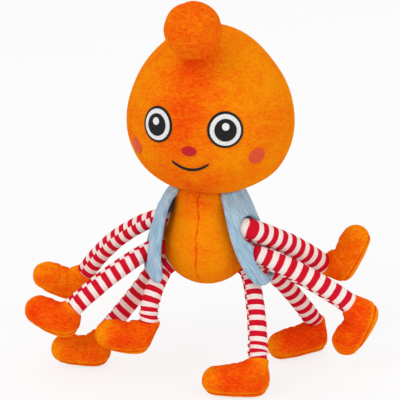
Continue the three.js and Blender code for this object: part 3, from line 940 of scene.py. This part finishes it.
# feet: a cuff round the ankle, a round heel and a bulb of a toe, with a sole sewn in just above the ground
footForm = {
    "around": 150,
    "along": 110,
    "mouthRadius": 8 * mm,
    "heelRadius": 9.8 * mm,
    "toeRadius": 10.6 * mm,
    "instepRadius": 10 * mm,
    "reach": 28.5 * mm,
    "drop": 15 * mm,
    "belly": 1.6 * mm,
    "dipAt": (0.45, 0.22),
    "soleDepth": 25.31 * mm,
    "soleSeam": 4.8 * mm,
    "blendRound": 8 * mm,
    "cuffRound": 1.6 * mm,
    "instepRound": 1.5 * mm,
    "soleRound": 5 * mm,
    "middle": (12 * mm, -14 * mm, 0),
    "furthest": 60 * mm,
    "seamDepth": 1 * mm,
    "seamWidth": 0.8 * mm,
    "puckerLength": 3.4 * mm,
    "seamMiddle": 14 * mm,
    "seamBend": 15 * mm,
    "stain": 0.6 * mm,
    "blushAt": (13 * mm, -9 * mm),
    "blushSize": (27 * mm, 17 * mm),
    "lump": 0.45 * mm,
    "lumpSize": 8 * mm,
    "crease": 0.9 * mm,
    "creaseAt": 15 * mm,
    "creaseWidth": 6 * mm,
    "creaseStep": 6.5 * mm,
    "bendStart": 1 * mm,
    "bendEnd": 11 * mm,
}


def footAxes(name):
    # ahead, up and aside
    heading, pitch = (math.radians(angle) for angle in legs[name]["toe"])
    level = np.array([math.cos(heading), math.sin(heading), 0])
    upright = np.array([0, 0, 1])
    toe = level * math.cos(pitch) + upright * math.sin(pitch)
    up = upright * math.cos(pitch) - level * math.sin(pitch)
    return toe, up, np.cross(toe, up)


def coneDepth(points, first, last, firstRadius, lastRadius):
    # how far points lie outside a round cone between two balls
    share = shareAlong(points, first, last)
    far = np.linalg.norm(points - (first + share[:, None] * (last - first)), axis=1)
    return far - (firstRadius * (1 - share) + lastRadius * share)


def footDepth(points, leg, way):
    # how far points (ahead, up, aside from the ankle) lie outside the stuffed foot; way points into it
    form = footForm
    heel = np.array([leg["heel"] * mm, -form["drop"], 0])
    toe = np.array([form["reach"], -form["drop"] + leg["curl"] * mm, 0])
    share = shareAlong(points, heel, toe)
    away = points - (heel + share[:, None] * (toe - heel))
    far = np.linalg.norm(away, axis=1)
    upward = np.clip(away[:, 1] / np.maximum(far, 1e-9), 0, 1)
    radius = form["heelRadius"] * (1 - share) + form["toeRadius"] * share
    radius = radius + form["belly"] * np.sin(math.pi * share)
    dip = leg["dip"] * mm * bell(share, *form["dipAt"]) * upward ** 2
    shoe = far - radius + dip
    mouth = way * leg["lip"] * mm
    collar = coneDepth(points, mouth, heel, form["mouthRadius"], form["heelRadius"])
    collar = smoothMax(collar, (mouth - points) @ way, form["cuffRound"])
    depth = smoothMin(shoe, collar, form["blendRound"])
    if not leg["dip"]:  # a straight instep
        ramp = mouth + way * form["mouthRadius"]
        instep = coneDepth(points, ramp, toe, form["mouthRadius"], form["instepRadius"])
        depth = smoothMin(depth, instep, form["instepRound"])
    return smoothMax(depth, -(points[:, 1] + form["soleDepth"] + leg["sole"] * mm), form["soleRound"])


def sewFoot(name):
    form, leg = footForm, legs[name]
    ankle = pivotOf(name + "_ankle")
    axes = np.stack(footAxes(name))
    _, _, legWay = legLine(name)
    way = axes @ legWay
    middle = np.array(form["middle"])
    seed = sum(map(ord, name)) * 0.53 % 11

    def shape(u, v):
        # rays out of the middle, each halved down to where it meets the surface
        polar, angle = math.pi * v, turn * u
        rays = np.stack([-np.cos(polar), np.sin(polar) * np.cos(angle), np.sin(polar) * np.sin(angle)], 1)
        near, far = np.zeros(len(u)), np.full(len(u), form["furthest"])
        for _ in range(24):
            half = (near + far) / 2
            inside = footDepth(middle + rays * half[:, None], leg, way) < 0
            near, far = np.where(inside, half, near), np.where(inside, far, half)
        local = middle + rays * near[:, None]
        outward = unit(1e-12 + np.stack([
            footDepth(local + step, leg, way) - footDepth(local - step, leg, way)
            for step in 0.05 * mm * np.eye(3)
        ], 1))
        rise = local[:, 1] + form["soleDepth"]
        run = np.arctan2(local[:, 2], local[:, 0] - form["seamMiddle"]) * form["seamBend"]
        dip = seamDip(rise - form["soleSeam"], run, form)
        flat = smoothStep(0.6 * mm, 3 * mm, rise)
        top = smoothStep(0.5 * mm, 4 * mm, (local - way * leg["lip"] * mm) @ way)
        swell = form["lump"] * lumps(local, form["lumpSize"], seed) * flat * top
        ahead = local[:, 0] - form["creaseAt"]
        over = bell(ahead, 0, form["creaseWidth"]) * smoothStep(0.1, 0.8, outward[:, 1])
        crease = np.cos(turn * (ahead + 0.35 * np.abs(local[:, 2])) / form["creaseStep"])
        swell -= form["crease"] * (0.4 + 0.3 * leg["dip"]) * over * np.maximum(crease, -0.3)
        local = local + outward * (swell - dip * flat)[:, None]
        return ankle + local @ axes, np.stack([u, v], 1)

    def nap(points):
        # painted shade: reddest in the middle of each side and paler toward the rims, as the pile's sheen
        # falls, with a darker line along the sole's seam that is partly painted shade in its groove
        local = (points - ankle) @ axes.T
        rise = local[:, 1] + form["soleDepth"] - form["soleSeam"]
        outline = sum(((local[:, k] - form["blushAt"][k]) / form["blushSize"][k]) ** 2 for k in range(2))
        core = smoothStep(1.0, 0.3, outline) * smoothStep(0, 5 * mm, rise)
        return 0.1 + 0.95 * bell(rise, 0, form["stain"]) + leg["blush"] * core

    foot = sewPiece(name + "_foot_cloth", form, shape, footPlush, nap)
    nodes = [name + "_foot_" + part for part in ("upper", "sole", "filling")]
    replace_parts(foot, *nodes)
    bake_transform(foot)


for legName in legs:
    sewFoot(legName)
print("feet sewn:", len(legs))


# vest: one thick soft sheet wrapped round the back, open in front, slit for the legs that pass through it
vestForm = {
    "columns": 250,
    "rows": 84,
    "rise": 10 * mm,
    "length": 66.5 * mm,
    "collar": 4.5 * mm,
    "thickness": 3.8 * mm,
    "collarGap": 0.3 * mm,
    "hemRadius": 45 * mm,
    "flare": (0.85, 0.55),
    "leftOpening": (40, 64, 2.6),
    "rightOpening": (48, 27, 1.5),
    "cornerRound": 9 * mm,
    "sideRise": 5 * mm,
    "sideAt": (185, 30),
    "frontDrop": 2.5 * mm,
    "dropAt": (-12, 22),
    "tuck": 3 * mm,
    "tuckAt": (215, 32),
    "wave": 1 * mm,
    "clothRadius": 34 * mm,
    "slitEase": 0.3 * mm,
    "slitShare": 0.6,
    "legReach": 62 * mm,
    "rimRound": 2.4 * mm,
    "rimRoll": 0.3,
    "rollAt": (3 * mm, 2.2 * mm),
    "flat": (0.220, 0.080),
}


def sweptLegs():
    # points along every leg where it passes the vest, at rest and swung to both limits
    points, radii = [], []
    for name in legs:
        path, run, _ = legLine(name, 120)
        near = run < vestForm["legReach"]
        joint = joints[name + "_hip"]
        hip, axis = pivotOf(name + "_hip"), unit(joint["axis"])
        share = smoothStep(0, 1, shareAlong(path, *hipBend(name, path)))
        for swing in np.linspace(*joint["range_deg"], 7):
            angle = (np.radians(swing) * share)[:, None]
            away = path - hip
            turned = away * np.cos(angle) + np.cross(axis, away) * np.sin(angle)
            turned += axis * (away @ axis)[:, None] * (1 - np.cos(angle))
            points.append((hip + turned)[near])
            radii.append(legRadius(name, run)[near])
    return np.concatenate(points), np.concatenate(radii)


def vestShape(u, v):
    # u from the left front round the back to the right front, v from the collar to the hem
    form = vestForm
    top, half = neck[2] + form["rise"], form["thickness"] / 2
    wide = math.radians(360 - form["leftOpening"][1] - form["rightOpening"][1]) * form["hemRadius"]
    corner = np.clip(1 - np.minimum(u, 1 - u) * wide / form["cornerRound"], 0, 1)
    hem = 1 - form["cornerRound"] / form["length"] * (1 - dome(corner))
    down = v * hem
    first, last = (
        np.radians(above + (below - above) * down ** sweep)
        for above, below, sweep in (form["leftOpening"], form["rightOpening"])
    )
    angle = first - math.pi / 2 + (turn - first - last) * u
    degrees = np.degrees(angle)
    lifted = form["sideRise"] * bell(degrees, *form["sideAt"])
    lifted -= form["frontDrop"] * bell(degrees, *form["dropAt"])
    z = top - (form["length"] - lifted) * down
    hug = bodyRadius(np.maximum(z, top - form["collar"])) + form["collarGap"] + half
    below = np.clip((top - form["collar"] - z) / (form["length"] - form["collar"]), 0, 1)
    flare = np.interp(angle + math.pi / 2, (0, turn), form["flare"])
    radius = hug + (form["hemRadius"] + half - hug) * below ** flare
    radius -= form["tuck"] * smoothStep(0.7, 1.05, down) * bell(degrees, *form["tuckAt"])
    radius += form["wave"] * down ** 1.5 * np.sin(3.0 * angle + 0.6) * np.sin(2.0 * angle + 2.4 * down)
    points = np.stack([np.cos(angle) * radius, np.sin(angle) * radius, z], 1)
    points[:, :2] += neck[:2]
    return points, np.stack([angle * form["clothRadius"] + 0.3 * z, z], 1)


def cutSlits(bm):
    # the cells that the swinging legs would touch come out
    legPoints, legRadii = sweptLegs()
    need = vestForm["slitEase"] + vestForm["thickness"] / 2 * vestForm["slitShare"]
    blocked = []
    for face in bm.faces:
        centre = np.array(face.calc_center_median())
        if (np.linalg.norm(legPoints - centre, axis=1) - legRadii).min() < need:
            blocked.append(face)
    bmesh.ops.delete(bm, geom=blocked, context="FACES")
    loose = [vert for vert in bm.verts if not vert.link_faces]
    bmesh.ops.delete(bm, geom=loose, context="VERTS")
    print("vest slits cut:", len(blocked), "cells")


def easeEdges(bm):
    # the cut edges are rounded, and the cloth between them follows
    for _ in range(10):
        moved = {}
        for vert in bm.verts:
            if vert.is_boundary:
                ends = [edge.other_vert(vert).co for edge in vert.link_edges if edge.is_boundary]
                if len(ends) == 2:
                    moved[vert] = vert.co * 0.5 + (ends[0] + ends[1]) * 0.25
        for vert, place in moved.items():
            vert.co = place
    inner = [vert for vert in bm.verts if not vert.is_boundary]
    for _ in range(4):
        bmesh.ops.smooth_vert(
            bm, verts=inner, factor=0.5, use_axis_x=True, use_axis_y=True, use_axis_z=True
        )


def thicken(bm):
    # an outer and an inner face that meet at the rims, which are rolled over
    bm.normal_update()
    rim = [vert for vert in bm.verts if vert.is_boundary]
    tree = kdtree.KDTree(len(rim))
    for k, vert in enumerate(rim):
        tree.insert(vert.co, k)
    tree.balance()
    shift = {}
    for vert in bm.verts:
        gap = 0.0 if vert.is_boundary else tree.find(vert.co)[2]
        share = min(gap / vestForm["rimRound"], 1)
        roll = vestForm["rimRoll"] * bell(gap, *vestForm["rollAt"])
        thick = vestForm["thickness"] / 2 * dome(1 - share) * (1 + roll)
        shift[vert] = vert.normal * thick
    copied = bmesh.ops.duplicate(bm, geom=bm.verts[:] + bm.edges[:] + bm.faces[:])
    innerFaces = [part for part in copied["geom"] if isinstance(part, bmesh.types.BMFace)]
    bmesh.ops.reverse_faces(bm, faces=innerFaces)
    for vert, offset in shift.items():
        vert.co += offset
        copied["vert_map"][vert].co -= offset
    bmesh.ops.remove_doubles(bm, verts=bm.verts, dist=0.01 * mm)
    bmesh.ops.recalc_face_normals(bm, faces=bm.faces)


def sewVest(form):
    bm = rolledSheet(form["columns"], form["rows"], vestShape, weld=False)
    cutSlits(bm)
    easeEdges(bm)
    thicken(bm)
    area = sum(face.calc_area() for face in bm.faces) / 2
    vest = makePiece("vest", bm, vestPlush)
    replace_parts(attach(vest, "root"), "vest_left_front", "vest_back", "vest_right_front")
    print("vest sewn:", len(vest.data.polygons), "faces,", round(area * 1e4, 1), "square centimetres")


sewVest(vestForm)


# stage: pale floor and room, a large soft lamp in front, a weaker one to the right and a faint one behind
studio = {
    "floorSide": 40.0,
    "floorColour": (0.9, 0.9, 0.9, 1),
    "floorWhite": 0.78,
    "roomLight": 0.78,
    "lamps": {
        "keyLamp": {"place": (-0.75, -1.25, 1.45), "side": 1.1, "watts": 9},
        "fillLamp": {"place": (1.25, -0.75, 0.75), "side": 1.2, "watts": 4},
        "backLamp": {"place": (0.3, 1.2, 1.2), "side": 1.0, "watts": 2},
    },
}


def whiteForCamera(tree):
    # 1 where the eye, or a reflection of it, sees the surface
    rays = addNode(tree, "ShaderNodeLightPath").outputs
    seen = sums(tree, "MAXIMUM", rays["Is Camera Ray"], rays["Is Glossy Ray"])
    return sums(tree, "MAXIMUM", seen, rays["Is Transmission Ray"])


def setStudio(form):
    bm = bmesh.new()
    bmesh.ops.create_grid(bm, x_segments=2, y_segments=2, size=form["floorSide"] / 2)
    material, tree, shader = startMaterial("paleFloor")
    shader.inputs["Base Color"].default_value = form["floorColour"]
    shader.inputs["Roughness"].default_value = 0.9
    glow = addNode(tree, "ShaderNodeEmission", Color=(1, 1, 1, 1), Strength=1.0)
    share = sums(tree, "MULTIPLY", whiteForCamera(tree), form["floorWhite"])
    mixed = addNode(tree, "ShaderNodeMixShader", i0=share, i1=shader.outputs[0], i2=glow.outputs[0])
    tree.links.new(mixed.outputs[0], tree.nodes["Material Output"].inputs["Surface"])
    makePiece("floor", bm, material)
    scene.world = bpy.data.worlds.new("paleRoom")
    scene.world.use_nodes = True
    tree = scene.world.node_tree
    back = tree.nodes["Background"]
    back.inputs["Color"].default_value = (1, 1, 1, 1)
    strength = scaled(tree, whiteForCamera(tree), 1 - form["roomLight"], form["roomLight"])
    tree.links.new(strength, back.inputs["Strength"])
    for name, lamp in form["lamps"].items():
        data = bpy.data.lights.new(name, "AREA")
        data.size = lamp["side"]
        data.energy = lamp["watts"]
        light = bpy.data.objects.new(name, data)
        scene.collection.objects.link(light)
        light.location = lamp["place"]
        light.rotation_euler = (bodyMiddle - light.location).to_track_quat("-Z", "Y").to_euler()


setStudio(studio)
